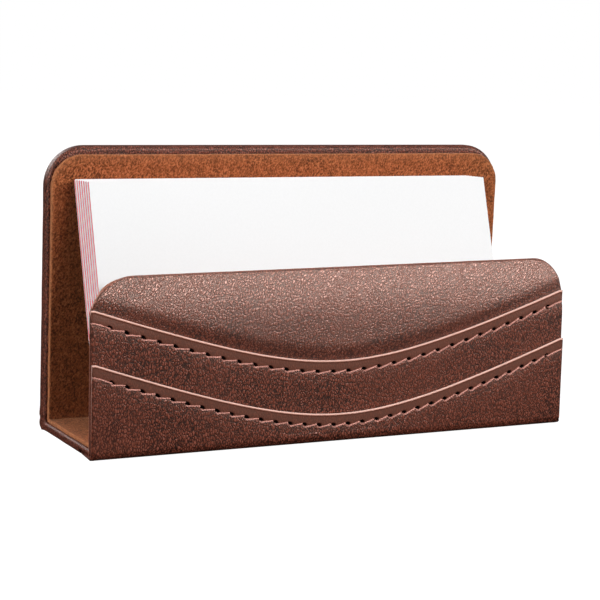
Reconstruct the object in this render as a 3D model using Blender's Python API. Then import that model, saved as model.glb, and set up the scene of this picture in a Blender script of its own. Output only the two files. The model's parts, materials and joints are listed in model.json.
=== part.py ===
"""Desk holder for name cards: stiff boards in a leather cover, suede linings and seven cards.

Frame: metres, +Z up, +X to the holder's right, front panel towards -Y. The origin is the middle of the
underside. Depths below are counted from the foremost point of the front panel towards the back.
"""

import math

import bmesh
import bpy
from mathutils import Vector

MM = 0.001

# Driving dimensions
WIDTH = 105 * MM
DEPTH = 33.4 * MM
BACK_HEIGHT = 57.5 * MM
FRONT_HEIGHT = 35 * MM
CORNER_RADIUS = 8 * MM
HEEL_RADIUS = 1.4 * MM  # the cover's rounded edge between the back and the underside
BACK_LEAN = 1.8 * MM  # how far the back's top edge leans forward
FRONT_CURVE = 1.1 * MM  # how far the front panel's top edge curves back
CURVE_START = 22 * MM  # height where the front panel begins to curve
ARC_STEPS = 8
SLACK = 2 * MM  # how far a cutter runs past what it cuts

# Clearances between layers that touch on the real object
GAP = 0.15 * MM
WIDE_GAP = 0.2 * MM

# The back's layers, by depth from front to rear
BACK_LINING = (28.8 * MM, 29.8 * MM)
BACK_TURN_IN = (30.0 * MM, 30.6 * MM)
BACK_BOARD = (30.8 * MM, 32.5 * MM)
BACK_LEATHER = (32.7 * MM, DEPTH)

# The base's layers, by height
BASE_LEATHER = (0.0, 0.5 * MM)
BASE_BOARD = (0.65 * MM, 1.25 * MM)
BASE_TURN_IN = (1.4 * MM, 1.8 * MM)
BASE_LINING = (1.95 * MM, 2.6 * MM)
BASE_TOP = BASE_LINING[1]
COVER_INSET = 0.4 * MM  # the cover is this much narrower than the front on each side
TURN_IN_WIDTH = 6 * MM
SIDE_LEATHER = 0.7 * MM

# The front's layers, by depth from front to rear
LOWER_BAND = (0.2 * MM, 0.65 * MM)
MIDDLE_BAND = (0.8 * MM, 1.2 * MM)
UPPER_LEATHER = (1.35 * MM, 1.75 * MM)
FRONT_BOARD = (1.95 * MM, 2.95 * MM)
FRONT_LINING = (1.95 * MM, 3.6 * MM)
BASE_FRONT = UPPER_LEATHER[1] + WIDE_GAP  # the base reaches under the front lining
FRONT_FOOT = 0.65 * MM  # lowest edge of the leather behind the lower band
LINING_FOOT = BASE_TOP + WIDE_GAP
HEM_DEPTH = 8 * MM  # how far the lower band is turned under the base
HEM_THICKNESS = 0.5 * MM
MIDDLE_BAND_INSET = 0.1 * MM
UPPER_LEATHER_INSET = 0.15 * MM
FRONT_LINING_INSET = 0.9 * MM
FRONT_LINING_RIM = 0.5 * MM

# Insets of the linings from the cover's outline
LINING_SIDE_INSET = 1.05 * MM
LINING_TOP_INSET = 1.7 * MM
LINING_CORNER_RADIUS = 6.3 * MM

# The smile curves of the bands' upper edges: lowest height, steepness and breadth
MIDDLE_EDGE_LOW = 16.0 * MM
LOWER_EDGE_LOW = 5.6 * MM
EDGE_RISE = 8.8 * MM
EDGE_BREADTH = 24.3 * MM
EDGE_STEPS = 42

# Stitching
STITCH_BELOW_EDGE = 2.0 * MM
UPPER_STITCHES = 29
LOWER_STITCHES = 31
STITCHED_WIDTH = 101.5 * MM
THREAD_RADIUS = 0.2 * MM
THREAD_DIP = 0.06 * MM
GROOVE_WIDTH = 0.9 * MM
GROOVE_DEPTH = 0.3 * MM

# The cards
CARDS = 7
CARD_WIDTH = 90 * MM
CARD_HEIGHT = 50 * MM
CARD_THICKNESS = 0.7 * MM
CARD_PITCH = 0.9 * MM
CARD_LEAN = math.radians(17)
CARD_CLEARANCE = 0.15 * MM  # above the base lining
STACK_REAR_TOP = 26.9 * MM  # depth of the rear card's upper rear edge
FRONT_CARD_OFFSET = -1.25 * MM
REAR_CARD_OFFSET = -2.05 * MM

# How many level cuts the curved stretch of the front is bent at
BEND_CUTS = 6

# Colours, linear RGB, with roughness
LEATHER_BROWN = ((0.105, 0.040, 0.028), 0.42)
SUEDE_TAN = ((0.300, 0.110, 0.040), 0.95)
BOARD_GREY = ((0.380, 0.350, 0.310), 0.90)
THREAD_BROWN = ((0.520, 0.220, 0.160), 0.70)
CARD_WHITE = ((0.900, 0.900, 0.900), 0.60)


def clear_scene():
    for obj in list(bpy.data.objects):
        bpy.data.objects.remove(obj, do_unlink=True)


def principled(name, finish):
    colour, roughness = finish
    material = bpy.data.materials.new(name)
    material.use_nodes = True
    shader = material.node_tree.nodes["Principled BSDF"]
    shader.inputs["Base Color"].default_value = (*colour, 1)
    shader.inputs["Roughness"].default_value = roughness
    shader.inputs["Metallic"].default_value = 0
    return material


def place_y(depth):
    """The Y coordinate of a depth counted from the foremost point."""
    return depth - DEPTH / 2


# ---------------------------------------------------------------- outlines


def arc(centre, radius, start, end, steps=ARC_STEPS):
    """Points of an arc, its angles in degrees, both ends included."""
    points = []
    for step in range(steps + 1):
        angle = math.radians(start + (end - start) * step / steps)
        points.append((centre[0] + radius * math.cos(angle), centre[1] + radius * math.sin(angle)))
    return points


def panel_outline(inset, bottom, top, radius):
    """An upright panel seen from the front, (x, z), with its two upper corners rounded."""
    half = WIDTH / 2 - inset
    right = arc((half - radius, top - radius), radius, 0, 90)
    left = arc((radius - half, top - radius), radius, 90, 180)
    return [(-half, bottom), (half, bottom), *right, *left]


def smile(x, low):
    """Height at x of a curve that is lowest in the middle and runs straight towards the sides."""
    return low + EDGE_RISE * (math.hypot(1, x / EDGE_BREADTH) - 1)


def even_steps(start, end, steps):
    return [start + (end - start) * step / steps for step in range(steps + 1)]


# ---------------------------------------------------------------- solids


def new_object(name, mesh_data):
    mesh = bpy.data.meshes.new(name)
    bmesh.ops.recalc_face_normals(mesh_data, faces=mesh_data.faces)
    mesh_data.to_mesh(mesh)
    mesh_data.free()
    obj = bpy.data.objects.new(name, mesh)
    bpy.context.scene.collection.objects.link(obj)
    return obj


def extruded(name, outline, direction):
    """A closed prism: the outline is a list of vectors, pushed along the direction."""
    mesh_data = bmesh.new()
    face = mesh_data.faces.new([mesh_data.verts.new(point) for point in outline])
    pushed = bmesh.ops.extrude_face_region(mesh_data, geom=[face])
    moved = [item for item in pushed["geom"] if isinstance(item, bmesh.types.BMVert)]
    bmesh.ops.translate(mesh_data, verts=moved, vec=direction)
    return new_object(name, mesh_data)


def slab(name, outline, depths):
    """A panel outline (x, z) given its thickness between two depths."""
    front, rear = depths
    points = [Vector((x, place_y(front), z)) for x, z in outline]
    return extruded(name, points, Vector((0, rear - front, 0)))


def rail(name, profile, half_width):
    """A side profile (depth, z) drawn out along the holder's width."""
    points = [Vector((-half_width, place_y(depth), z)) for depth, z in profile]
    return extruded(name, points, Vector((2 * half_width, 0, 0)))


def box(name, half_width, depths, heights):
    low, high = heights
    front, rear = depths
    return rail(name, [(front, low), (rear, low), (rear, high), (front, high)], half_width)


def lofted(name, stations):
    """A closed solid through equal rings of vectors, the first and the last filled."""
    mesh_data = bmesh.new()
    rings = [[mesh_data.verts.new(point) for point in ring] for ring in stations]
    count = len(rings[0])
    for one, two in zip(rings, rings[1:]):
        for index in range(count):
            after = (index + 1) % count
            mesh_data.faces.new((one[index], one[after], two[after], two[index]))
    mesh_data.faces.new(rings[0])
    mesh_data.faces.new(rings[-1])
    return new_object(name, mesh_data)


def combine(obj, operation, *others):
    """Applies a Boolean with each of the others and removes them."""
    for other in others:
        modifier = obj.modifiers.new(operation, "BOOLEAN")
        modifier.operation = operation
        modifier.solver = "EXACT"
        modifier.object = other
        graph = bpy.context.evaluated_depsgraph_get()
        mesh = bpy.data.meshes.new_from_object(obj.evaluated_get(graph))
        obj.modifiers.clear()
        obj.data = mesh
        bpy.data.objects.remove(other, do_unlink=True)
    return obj


def divide(obj, heights):
    """Cuts the faces of a mesh at level heights, so that it can bend there."""
    mesh_data = bmesh.new()
    mesh_data.from_mesh(obj.data)
    for height in heights:
        bmesh.ops.bisect_plane(
            mesh_data,
            geom=[*mesh_data.verts, *mesh_data.edges, *mesh_data.faces],
            plane_co=(0, 0, height),
            plane_no=(0, 0, 1),
        )
    mesh_data.to_mesh(obj.data)
    mesh_data.free()


def back_shift(height):
    """Forward shift of the straight, leaning back at a height."""
    return -BACK_LEAN * max(0.0, height - BASE_TOP) / (BACK_HEIGHT - BASE_TOP)


def front_shift(height):
    """Rearward shift of the front panel, which curves away from the front towards its top."""
    return FRONT_CURVE * (max(0.0, height - CURVE_START) / (FRONT_HEIGHT - CURVE_START)) ** 2


def lean_back(obj):
    divide(obj, [BASE_TOP])
    for vertex in obj.data.vertices:
        vertex.co.y += back_shift(vertex.co.z)


def curve_front(obj):
    divide(obj, even_steps(CURVE_START, FRONT_HEIGHT, BEND_CUTS)[:-1])
    for vertex in obj.data.vertices:
        vertex.co.y += front_shift(vertex.co.z)


def finished(obj, material):
    obj.data.materials.clear()
    obj.data.materials.append(material)
    return obj


# ---------------------------------------------------------------- the boards


def make_back_board(material):
    wrap = SIDE_LEATHER + WIDE_GAP
    outline = panel_outline(COVER_INSET + wrap, BASE_BOARD[0], BACK_HEIGHT - wrap, CORNER_RADIUS - wrap)
    board = slab("back_board", outline, BACK_BOARD)
    lean_back(board)
    return finished(board, material)


def make_base_board(material):
    half = WIDTH / 2 - COVER_INSET - SIDE_LEATHER - WIDE_GAP
    board = box("base_board", half, (BASE_FRONT, BACK_BOARD[0] - WIDE_GAP), BASE_BOARD)
    return finished(board, material)


def make_front_board(material):
    inset = FRONT_LINING_INSET + FRONT_LINING_RIM + WIDE_GAP
    outline = panel_outline(inset, LINING_FOOT + FRONT_LINING_RIM + WIDE_GAP, FRONT_HEIGHT - inset,
                            CORNER_RADIUS - inset)
    board = slab("front_board", outline, FRONT_BOARD)
    curve_front(board)
    return finished(board, material)


# ---------------------------------------------------------------- the outer leather


def cover_profile():
    """The cover's outer shape from the side: underside, rounded heel and back."""
    heel = arc((DEPTH - HEEL_RADIUS, HEEL_RADIUS), HEEL_RADIUS, -90, 0)
    inner_depth, inner_height = BACK_TURN_IN[0], BASE_TURN_IN[1]
    top = BACK_HEIGHT + SLACK
    return [(BASE_FRONT, 0), *heel, (DEPTH, top), (inner_depth, top), (inner_depth, inner_height),
            (BASE_FRONT, inner_height)]


def cavity_profile():
    """The room for the back and base boards inside the cover, from the side."""
    low, high = BASE_LEATHER[1], BASE_TURN_IN[0]
    front, rear = BACK_TURN_IN[1], BACK_LEATHER[0]
    top = BACK_HEIGHT + SLACK
    return [(BASE_FRONT - SLACK, low), (rear, low), (rear, top), (front, top), (front, high),
            (BASE_FRONT - SLACK, high)]


def make_outer_leather(material):
    """One sheet round the back and base boards, its edges turned in over their inner faces."""
    whole_depth = (-SLACK, DEPTH + SLACK)
    cover = rail("outer_leather", cover_profile(), WIDTH / 2 + SLACK)
    outline = panel_outline(COVER_INSET, -SLACK, BACK_HEIGHT, CORNER_RADIUS)
    combine(cover, "INTERSECT", slab("silhouette", outline, whole_depth))

    room = rail("room", cavity_profile(), WIDTH / 2)
    outline = panel_outline(COVER_INSET + SIDE_LEATHER, -SLACK, BACK_HEIGHT - SIDE_LEATHER,
                            CORNER_RADIUS - SIDE_LEATHER)
    combine(room, "INTERSECT", slab("room_outline", outline, whole_depth))

    border = SIDE_LEATHER + TURN_IN_WIDTH
    half = WIDTH / 2 - COVER_INSET - border
    back_window = box("back_window", half, (BACK_TURN_IN[0] - SLACK, BACK_BOARD[0]),
                      (BASE_TURN_IN[0] - GAP, BACK_HEIGHT - border))
    base_window = box("base_window", half, (BASE_FRONT - SLACK, BACK_TURN_IN[0] - GAP),
                      (BASE_TURN_IN[0] - GAP, BASE_TURN_IN[1] + SLACK))
    hem_room = box("hem_room", WIDTH / 2 + SLACK, (-SLACK, LOWER_BAND[0] + HEM_DEPTH + WIDE_GAP),
                   (-SLACK, FRONT_FOOT))
    combine(cover, "DIFFERENCE", room, back_window, base_window, hem_room)
    lean_back(cover)
    return finished(cover, material)


# ---------------------------------------------------------------- the linings


def make_back_lining(material):
    outline = panel_outline(LINING_SIDE_INSET, BASE_LINING[0], BACK_HEIGHT - LINING_TOP_INSET,
                            LINING_CORNER_RADIUS)
    lining = slab("back_lining", outline, BACK_LINING)
    lean_back(lining)
    return finished(lining, material)


def make_base_lining(material):
    half = WIDTH / 2 - LINING_SIDE_INSET
    lining = box("base_lining", half, (BASE_FRONT, BACK_LINING[0] - WIDE_GAP), BASE_LINING)
    return finished(lining, material)


def make_front_lining(material):
    """A shallow tray that holds the front board against the upper leather."""
    inset = FRONT_LINING_INSET
    outline = panel_outline(inset, LINING_FOOT, FRONT_HEIGHT - inset, CORNER_RADIUS - inset)
    lining = slab("front_lining", outline, FRONT_LINING)
    inset += FRONT_LINING_RIM
    outline = panel_outline(inset, LINING_FOOT + FRONT_LINING_RIM, FRONT_HEIGHT - inset,
                            CORNER_RADIUS - inset)
    room = slab("room", outline, (FRONT_LINING[0] - SLACK, FRONT_BOARD[1] + GAP))
    combine(lining, "DIFFERENCE", room)
    curve_front(lining)
    return finished(lining, material)


# ---------------------------------------------------------------- the front's leather


def make_upper_leather(material):
    inset = UPPER_LEATHER_INSET
    outline = panel_outline(inset, FRONT_FOOT, FRONT_HEIGHT, CORNER_RADIUS - inset)
    leather = slab("front_upper_leather", outline, UPPER_LEATHER)
    curve_front(leather)
    return finished(leather, material)


def band_stations(depths, low, half, section):
    """Cross-sections of a band at steps along its width; section gives (depth, z) for an edge height."""
    stations = []
    for x in even_steps(-half, half, EDGE_STEPS):
        profile = section(depths, smile(x, low))
        stations.append([Vector((x, place_y(depth), z)) for depth, z in profile])
    return stations


def plain_section(depths, edge):
    front, rear = depths
    return [(front, FRONT_FOOT), (rear, FRONT_FOOT), (rear, edge), (front, edge)]


def hemmed_section(depths, edge):
    """The lower band, which is turned under the base."""
    front, rear = depths
    end = front + HEM_DEPTH
    return [(front, 0), (end, 0), (end, HEM_THICKNESS), (rear, HEM_THICKNESS), (rear, edge), (front, edge)]


def stitch_groove(depths, low):
    """A shallow channel along the stitch line, open at both sides of the holder."""
    front = depths[0]
    middle = low - STITCH_BELOW_EDGE
    stations = []
    for x in even_steps(-WIDTH / 2 - SLACK, WIDTH / 2 + SLACK, EDGE_STEPS):
        height = smile(x, middle)
        corners = [(-1, -SLACK), (-1, GROOVE_DEPTH), (1, GROOVE_DEPTH), (1, -SLACK)]
        stations.append([Vector((x, place_y(front + depth), height + side * GROOVE_WIDTH / 2))
                         for side, depth in corners])
    return lofted("groove", stations)


def make_band(name, depths, low, inset, section, material):
    band = lofted(name, band_stations(depths, low, WIDTH / 2 - inset, section))
    combine(band, "DIFFERENCE", stitch_groove(depths, low))
    curve_front(band)
    return finished(band, material)


def make_stitching(name, depths, low, stitches, material):
    """One thread along the groove: it rises over each stitch and dips into each hole."""
    middle = low - STITCH_BELOW_EDGE
    half = STITCHED_WIDTH / 2
    steps = stitches * 2
    curve = bpy.data.curves.new(name, "CURVE")
    curve.dimensions = "3D"
    curve.bevel_depth = THREAD_RADIUS
    curve.bevel_resolution = 2
    curve.use_fill_caps = True
    thread = curve.splines.new("POLY")
    thread.points.add(steps)
    for index, x in enumerate(even_steps(-half, half, steps)):
        height = smile(x, middle)
        dip = THREAD_DIP if index % 2 == 0 else 0
        thread.points[index].co = (x, place_y(depths[0]) + dip + front_shift(height), height, 1)
    obj = bpy.data.objects.new(name, curve)
    bpy.context.scene.collection.objects.link(obj)
    curve.materials.append(material)
    return obj


# ---------------------------------------------------------------- the cards


def make_cards(material):
    """Seven equal cards that lean back together, card_1 at the front."""
    up = Vector((0, math.sin(CARD_LEAN), math.cos(CARD_LEAN)))
    forward = Vector((0, -math.cos(CARD_LEAN), math.sin(CARD_LEAN)))
    rear_foot = Vector((0, place_y(STACK_REAR_TOP), 0)) - up * CARD_HEIGHT
    foot_height = BASE_TOP + CARD_CLEARANCE + CARD_THICKNESS * math.sin(CARD_LEAN)
    half = CARD_WIDTH / 2
    flat = [(-half, 0), (half, 0), (half, CARD_HEIGHT), (-half, CARD_HEIGHT)]
    for number in range(1, CARDS + 1):
        behind = CARDS - number
        offset = FRONT_CARD_OFFSET + (REAR_CARD_OFFSET - FRONT_CARD_OFFSET) * (number - 1) / (CARDS - 1)
        foot = Vector((offset, rear_foot.y - behind * CARD_PITCH / math.cos(CARD_LEAN), foot_height))
        outline = [foot + Vector((x, 0, 0)) + up * height for x, height in flat]
        card = extruded(f"card_{number}", outline, forward * CARD_THICKNESS)
        finished(card, material)


def main():
    clear_scene()
    leather = principled("brown_leather", LEATHER_BROWN)
    suede = principled("tan_suede", SUEDE_TAN)
    board = principled("grey_board", BOARD_GREY)
    thread = principled("brown_thread", THREAD_BROWN)
    card = principled("white_card", CARD_WHITE)

    make_back_board(board)
    make_base_board(board)
    make_front_board(board)
    make_outer_leather(leather)
    make_back_lining(suede)
    make_base_lining(suede)
    make_front_lining(suede)
    make_upper_leather(leather)
    make_band("front_middle_band", MIDDLE_BAND, MIDDLE_EDGE_LOW, MIDDLE_BAND_INSET, plain_section, leather)
    make_band("front_lower_band", LOWER_BAND, LOWER_EDGE_LOW, 0, hemmed_section, leather)
    make_stitching("upper_stitching", MIDDLE_BAND, MIDDLE_EDGE_LOW, UPPER_STITCHES, thread)
    make_stitching("lower_stitching", LOWER_BAND, LOWER_EDGE_LOW, LOWER_STITCHES, thread)
    make_cards(card)


main()
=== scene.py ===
"""Looks of the desk card holder: pebbled leather, suede, twisted stitches and cards, round the CAD frame.

Frame: metres, +Z up, the low front panel towards -Y. Depths are counted from the foremost point of the front
towards the back, heights from the underside.
"""

import json
import math

import bmesh
import bpy
from mathutils import Matrix, Vector, noise


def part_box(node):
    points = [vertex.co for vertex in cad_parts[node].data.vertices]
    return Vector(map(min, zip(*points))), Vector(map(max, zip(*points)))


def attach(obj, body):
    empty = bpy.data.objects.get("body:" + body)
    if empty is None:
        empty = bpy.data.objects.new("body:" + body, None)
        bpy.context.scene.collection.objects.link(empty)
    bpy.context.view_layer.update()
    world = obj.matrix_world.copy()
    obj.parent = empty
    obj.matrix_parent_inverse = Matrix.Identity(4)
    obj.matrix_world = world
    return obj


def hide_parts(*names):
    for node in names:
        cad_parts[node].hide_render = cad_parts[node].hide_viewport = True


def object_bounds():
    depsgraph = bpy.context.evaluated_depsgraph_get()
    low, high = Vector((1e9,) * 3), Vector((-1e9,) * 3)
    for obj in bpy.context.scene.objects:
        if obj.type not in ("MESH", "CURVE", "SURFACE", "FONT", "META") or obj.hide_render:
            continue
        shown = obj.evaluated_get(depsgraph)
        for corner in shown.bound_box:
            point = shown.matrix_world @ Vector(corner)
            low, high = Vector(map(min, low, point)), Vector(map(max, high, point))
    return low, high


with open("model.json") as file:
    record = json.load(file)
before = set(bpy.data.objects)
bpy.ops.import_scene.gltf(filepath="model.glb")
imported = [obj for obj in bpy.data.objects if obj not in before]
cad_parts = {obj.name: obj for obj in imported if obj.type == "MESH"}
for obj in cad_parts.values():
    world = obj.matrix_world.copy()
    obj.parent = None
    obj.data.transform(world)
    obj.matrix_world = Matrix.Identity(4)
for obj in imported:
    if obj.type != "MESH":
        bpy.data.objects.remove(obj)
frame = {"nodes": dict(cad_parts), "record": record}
CAD_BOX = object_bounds()

MM = 0.001

# The frame, as the CAD gives it
LOW, HIGH = CAD_BOX
HALF = (HIGH.x - LOW.x) / 2
FRONT = LOW.y
DEPTH = HIGH.y - LOW.y
TOP = HIGH.z
BASE_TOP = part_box("base_lining")[1].z
FRONT_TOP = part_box("front_upper_leather")[1].z
COVER_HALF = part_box("outer_leather")[1].x
LINING_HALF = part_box("back_lining")[1].x
LINING_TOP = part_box("back_lining")[1].z


def depth_of(y):
    """The depth of a Y coordinate, counted from the foremost point."""
    return y - FRONT


LOWER_FRONT = depth_of(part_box("front_lower_band")[0].y)
MIDDLE_FRONT = depth_of(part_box("front_middle_band")[0].y)
UPPER_FRONT = depth_of(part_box("front_upper_leather")[0].y)
BACK_LINING_REAR = depth_of(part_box("back_lining")[1].y)
BACK_LINING_FRONT = BACK_LINING_REAR - 1.0 * MM
BASE_FRONT = depth_of(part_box("base_lining")[0].y)
BASE_REAR = depth_of(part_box("base_lining")[1].y)

# Bends, the same as the CAD's
BACK_LEAN = 1.8 * MM
FRONT_CURVE = 1.1 * MM
CURVE_START = 22 * MM

# Outlines
CORNER_RADIUS = 8 * MM
HEEL_RADIUS = 1.4 * MM
LINING_RADIUS = 6.3 * MM

# The smile curves of the bands' upper edges
MIDDLE_LOW = 16.5 * MM
LOWER_LOW = 5.85 * MM
EDGE_RISE = {MIDDLE_LOW: 8.9 * MM, LOWER_LOW: 9.3 * MM}
EDGE_BREADTH = 24.3 * MM
EDGE_LEVEL = 0.8 * MM  # each edge runs level over this last stretch

# Stitching
STITCH_DROP = 2.3 * MM
UPPER_PITCH = 3.45 * MM
LOWER_PITCH = 3.22 * MM
SLIT_LENGTH = 1.1 * MM
SLIT_WIDTH = 0.8 * MM
SLIT_RISE = 0.05 * MM
SLIT_TURN = math.radians(-18)

# The cards lean back by this angle
CARD_LEAN = math.radians(17)
CARD_THICKNESS = 0.86 * MM


def smoothstep(low, high, value):
    share = min(1.0, max(0.0, (value - low) / (high - low)))
    return share * share * (3 - 2 * share)


def even_steps(start, end, steps):
    return [start + (end - start) * step / steps for step in range(steps + 1)]


def back_shift(height):
    """Forward shift of the leaning back at a height."""
    return -BACK_LEAN * max(0.0, height - BASE_TOP) / (TOP - BASE_TOP)


def front_shift(height):
    """Rearward shift of the front panel, which curves back towards its top."""
    return FRONT_CURVE * (max(0.0, height - CURVE_START) / (FRONT_TOP - CURVE_START)) ** 2


def waver(x, z, size, amount, seed=0.0):
    """A slow, seeded unevenness of hand-made edges and faces."""
    return amount * noise.noise(Vector((x / size, seed, z / size)))


# ---------------------------------------------------------------- meshes


def new_mesh(name, points, faces, finish_and_painted_light=None):
    """A mesh with faces out, given (edge, slit, smooth) shares for each point: edge colour, in leather with
    a painted highlight on the bead; painted shade in the slits; smoothed grain.
    """
    mesh = bpy.data.meshes.new(name)
    mesh.from_pydata([tuple(point) for point in points], [], faces)
    data = bmesh.new()
    data.from_mesh(mesh)
    bmesh.ops.recalc_face_normals(data, faces=data.faces)
    data.to_mesh(mesh)
    data.free()
    if finish_and_painted_light:
        # Per-point shares of edge colour (with a painted highlight on leather beads), painted slit shade and
        # smoothing
        layer = mesh.color_attributes.new("finish_and_painted_light", "FLOAT_COLOR", "POINT")
        layer.data.foreach_set("color", [value for shares in finish_and_painted_light for value in (*shares, 1.0)])
    return mesh


def new_piece(name, mesh, materials, body, replaced):
    """Puts a mesh in the scene, on a body, in place of a CAD node."""
    mesh.shade_smooth()
    mesh.set_sharp_from_angle(angle=math.radians(50))
    for material in materials:
        mesh.materials.append(material)
    obj = bpy.data.objects.new(name, mesh)
    bpy.context.scene.collection.objects.link(obj)
    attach(obj, body)
    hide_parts(replaced)


def hollowed(mesh, *cutters):
    """The mesh with rooms cut out of it."""
    obj = bpy.data.objects.new("hollowed", mesh)
    bpy.context.scene.collection.objects.link(obj)
    for cutter in cutters:
        tool = bpy.data.objects.new("cutter", cutter)
        bpy.context.scene.collection.objects.link(tool)
        modifier = obj.modifiers.new("room", "BOOLEAN")
        modifier.operation = "DIFFERENCE"
        modifier.solver = "EXACT"
        modifier.object = tool
        graph = bpy.context.evaluated_depsgraph_get()
        cut = bpy.data.meshes.new_from_object(obj.evaluated_get(graph))
        obj.modifiers.clear()
        obj.data = cut
        bpy.data.objects.remove(tool, do_unlink=True)
    result = obj.data
    bpy.data.objects.remove(obj, do_unlink=True)
    return result


def joined_rings(rings, capped=True):
    """Points and faces of a closed skin over equal rings."""
    count = len(rings[0])
    points = [point for ring in rings for point in ring]
    faces = []
    for row in range(len(rings) - 1):
        start, after = row * count, (row + 1) * count
        for index in range(count):
            nearby = (index + 1) % count
            faces.append((start + index, after + index, after + nearby, start + nearby))
    if capped:
        faces.append(tuple(range(count)))
        faces.append(tuple(range(len(points) - count, len(points))))
    return points, faces


def ladder(start, count):
    """Faces across the end of a ring whose second half runs back along its first."""
    faces = []
    for index in range(count // 2 - 1):
        far = count - 1 - index
        faces.append((start + index, start + index + 1, start + far - 1, start + far))
    return faces


def folded_rings(rings):
    """Points and faces of a closed skin over rings whose second half runs back along the first."""
    points, faces = joined_rings(rings, capped=False)
    count = len(rings[0])
    return points, faces + ladder(0, count) + ladder(len(points) - count, count)


def merged(skins):
    """Points and faces of several skins as one."""
    points, faces = [], []
    for more_points, more_faces in skins:
        start = len(points)
        points += more_points
        faces += [tuple(start + index for index in face) for face in more_faces]
    return points, faces


def edge_round(distance, radius):
    """How far a face falls back near its piece's edge, for an edge of this radius."""
    if distance >= radius:
        return 0.0
    return radius - math.sqrt(max(0.0, radius * radius - (radius - distance) ** 2))


def panel_distance(x, z, half, bottom, top, radius):
    """Distance inwards from the outline of a panel with rounded upper corners."""
    across, up = abs(x) - (half - radius), z - (top - radius)
    if across > 0 and up > 0:
        return radius - math.hypot(across, up)
    return min(half - abs(x), top - z, z - bottom)


CORNER_STEPS = 22


def panel_columns(half, radius, step):
    """X positions that follow the rounded corners evenly."""
    centre = half - radius
    turns = even_steps(0, math.pi / 2, CORNER_STEPS)
    corner = [centre + radius * math.sin(turn) for turn in turns]
    middle = even_steps(-centre, centre, max(2, round(2 * centre / step)))
    return [*[-x for x in reversed(corner[1:])], *middle, *corner[1:]]


def column_top(x, half, top, radius):
    across = abs(x) - (half - radius)
    if across <= 0:
        return top
    return top - radius + math.sqrt(max(0.0, radius * radius - across * across))


EDGE_SHARES = (0.0, 0.04, 0.13, 0.28, 0.48, 0.72, 1.0, 1.35)


def panel_rows(bottom, top, edge, steps):
    """Heights up a column: dense at both ends, even between."""
    low = [bottom + edge * share for share in EDGE_SHARES]
    high = [top - edge * share for share in reversed(EDGE_SHARES)]
    return [*low, *even_steps(low[-1], high[0], steps)[1:-1], *high]


FRAY_SIZE = 0.8 * MM


def panel(name, outline, edge, front, rear, rim=0.0, rim_peak=1.0, step=1.2 * MM, rows=30, fray=0.0):
    """A closed upright panel with rounded edges; front and rear give its depths at (x, z)."""
    half, bottom, top, radius = outline
    rings, finish_and_painted_light = [], []
    for x in panel_columns(half, radius, step):
        heights = panel_rows(bottom, column_top(x, half, top, radius), edge, rows)
        distances = [max(0.0, panel_distance(x, z, half, bottom, top, radius)) for z in heights]
        falls = [edge_round(distance, edge) for distance in distances]
        ahead, behind, shares = [], [], []
        for z, distance, fall in zip(heights, distances, falls):
            near = 1 - smoothstep(0, 2 * edge, distance)
            drawn = x * (1 - near * abs(waver(x, z, FRAY_SIZE, fray, 3)) / half)
            lowered = z - near * abs(waver(x, z, FRAY_SIZE, fray, 5))
            ahead.append(Vector((drawn, FRONT + front(x, z) + fall, lowered)))
            behind.append(Vector((drawn, FRONT + rear(x, z) - fall, lowered)))
            shares.append((rim_peak * (1 - smoothstep(0, rim, distance)) if rim else 0.0, 0.0, 0.0))
        rings.append([*ahead, *reversed(behind)])
        finish_and_painted_light += [*shares, *reversed(shares)]
    return new_mesh(name, *folded_rings(rings), finish_and_painted_light)


def prism(name, outline, direction):
    """A closed prism: the outline is a list of vectors, pushed along the direction."""
    count = len(outline)
    points = [*outline, *[point + direction for point in outline]]
    sides = []
    for index in range(count):
        nearby = (index + 1) % count
        sides.append((index, nearby, nearby + count, index + count))
    return new_mesh(name, points, [*sides, tuple(range(count)), tuple(range(count, 2 * count))])


# ---------------------------------------------------------------- shader nodes


def plug(tree, value, socket):
    """Links a socket or sets a plain value."""
    if isinstance(value, bpy.types.NodeSocket):
        tree.links.new(value, socket)
    elif isinstance(value, tuple) and len(value) == 3 and len(socket.default_value) == 4:
        socket.default_value = (*value, 1)
    else:
        socket.default_value = value


def add_node(tree, kind, inputs, **settings):
    made = tree.nodes.new(kind)
    for key, value in settings.items():
        setattr(made, key, value)
    for key, value in inputs.items():
        plug(tree, value, made.inputs[key])
    return made


def mixed(tree, share, one, two):
    """Colour one, with this share of colour two."""
    made = tree.nodes.new("ShaderNodeMix")
    made.data_type = "RGBA"
    plug(tree, share, made.inputs[0])
    plug(tree, one, made.inputs[6])
    plug(tree, two, made.inputs[7])
    return made.outputs[2]


def calculate(tree, operation, one, two):
    return add_node(tree, "ShaderNodeMath", {0: one, 1: two}, operation=operation).outputs[0]


def times(tree, one, two):
    return calculate(tree, "MULTIPLY", one, two)


def weighted(tree, one, two, share):
    """This share of one, and the rest of two."""
    return calculate(tree, "ADD", times(tree, one, share), times(tree, two, 1 - share))


def ramp(tree, value, low, high, start=0.0, end=1.0):
    """A smooth change from start to end while the value goes from low to high."""
    inputs = {"Value": value, "From Min": low, "From Max": high, "To Min": start, "To Max": end}
    return add_node(tree, "ShaderNodeMapRange", inputs, interpolation_type="SMOOTHSTEP").outputs["Result"]


def coordinates(tree, turn=(0, 0, 0), stretch=(1, 1, 1)):
    """Places in the object, for patterns that are first stretched and then turned."""
    place = tree.nodes.new("ShaderNodeTexCoord").outputs["Object"]
    inputs = {"Vector": place, "Rotation": turn, "Scale": stretch}
    return add_node(tree, "ShaderNodeMapping", inputs, vector_type="TEXTURE").outputs["Vector"]


def cloud(tree, where, size, detail=2.0, output="Fac"):
    """Noise whose features are about this large."""
    inputs = {"Vector": where, "Scale": 1 / size, "Detail": detail}
    return add_node(tree, "ShaderNodeTexNoise", inputs).outputs[output]


def calculate_vector(tree, operation, inputs):
    return add_node(tree, "ShaderNodeVectorMath", inputs, operation=operation).outputs[0]


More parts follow.
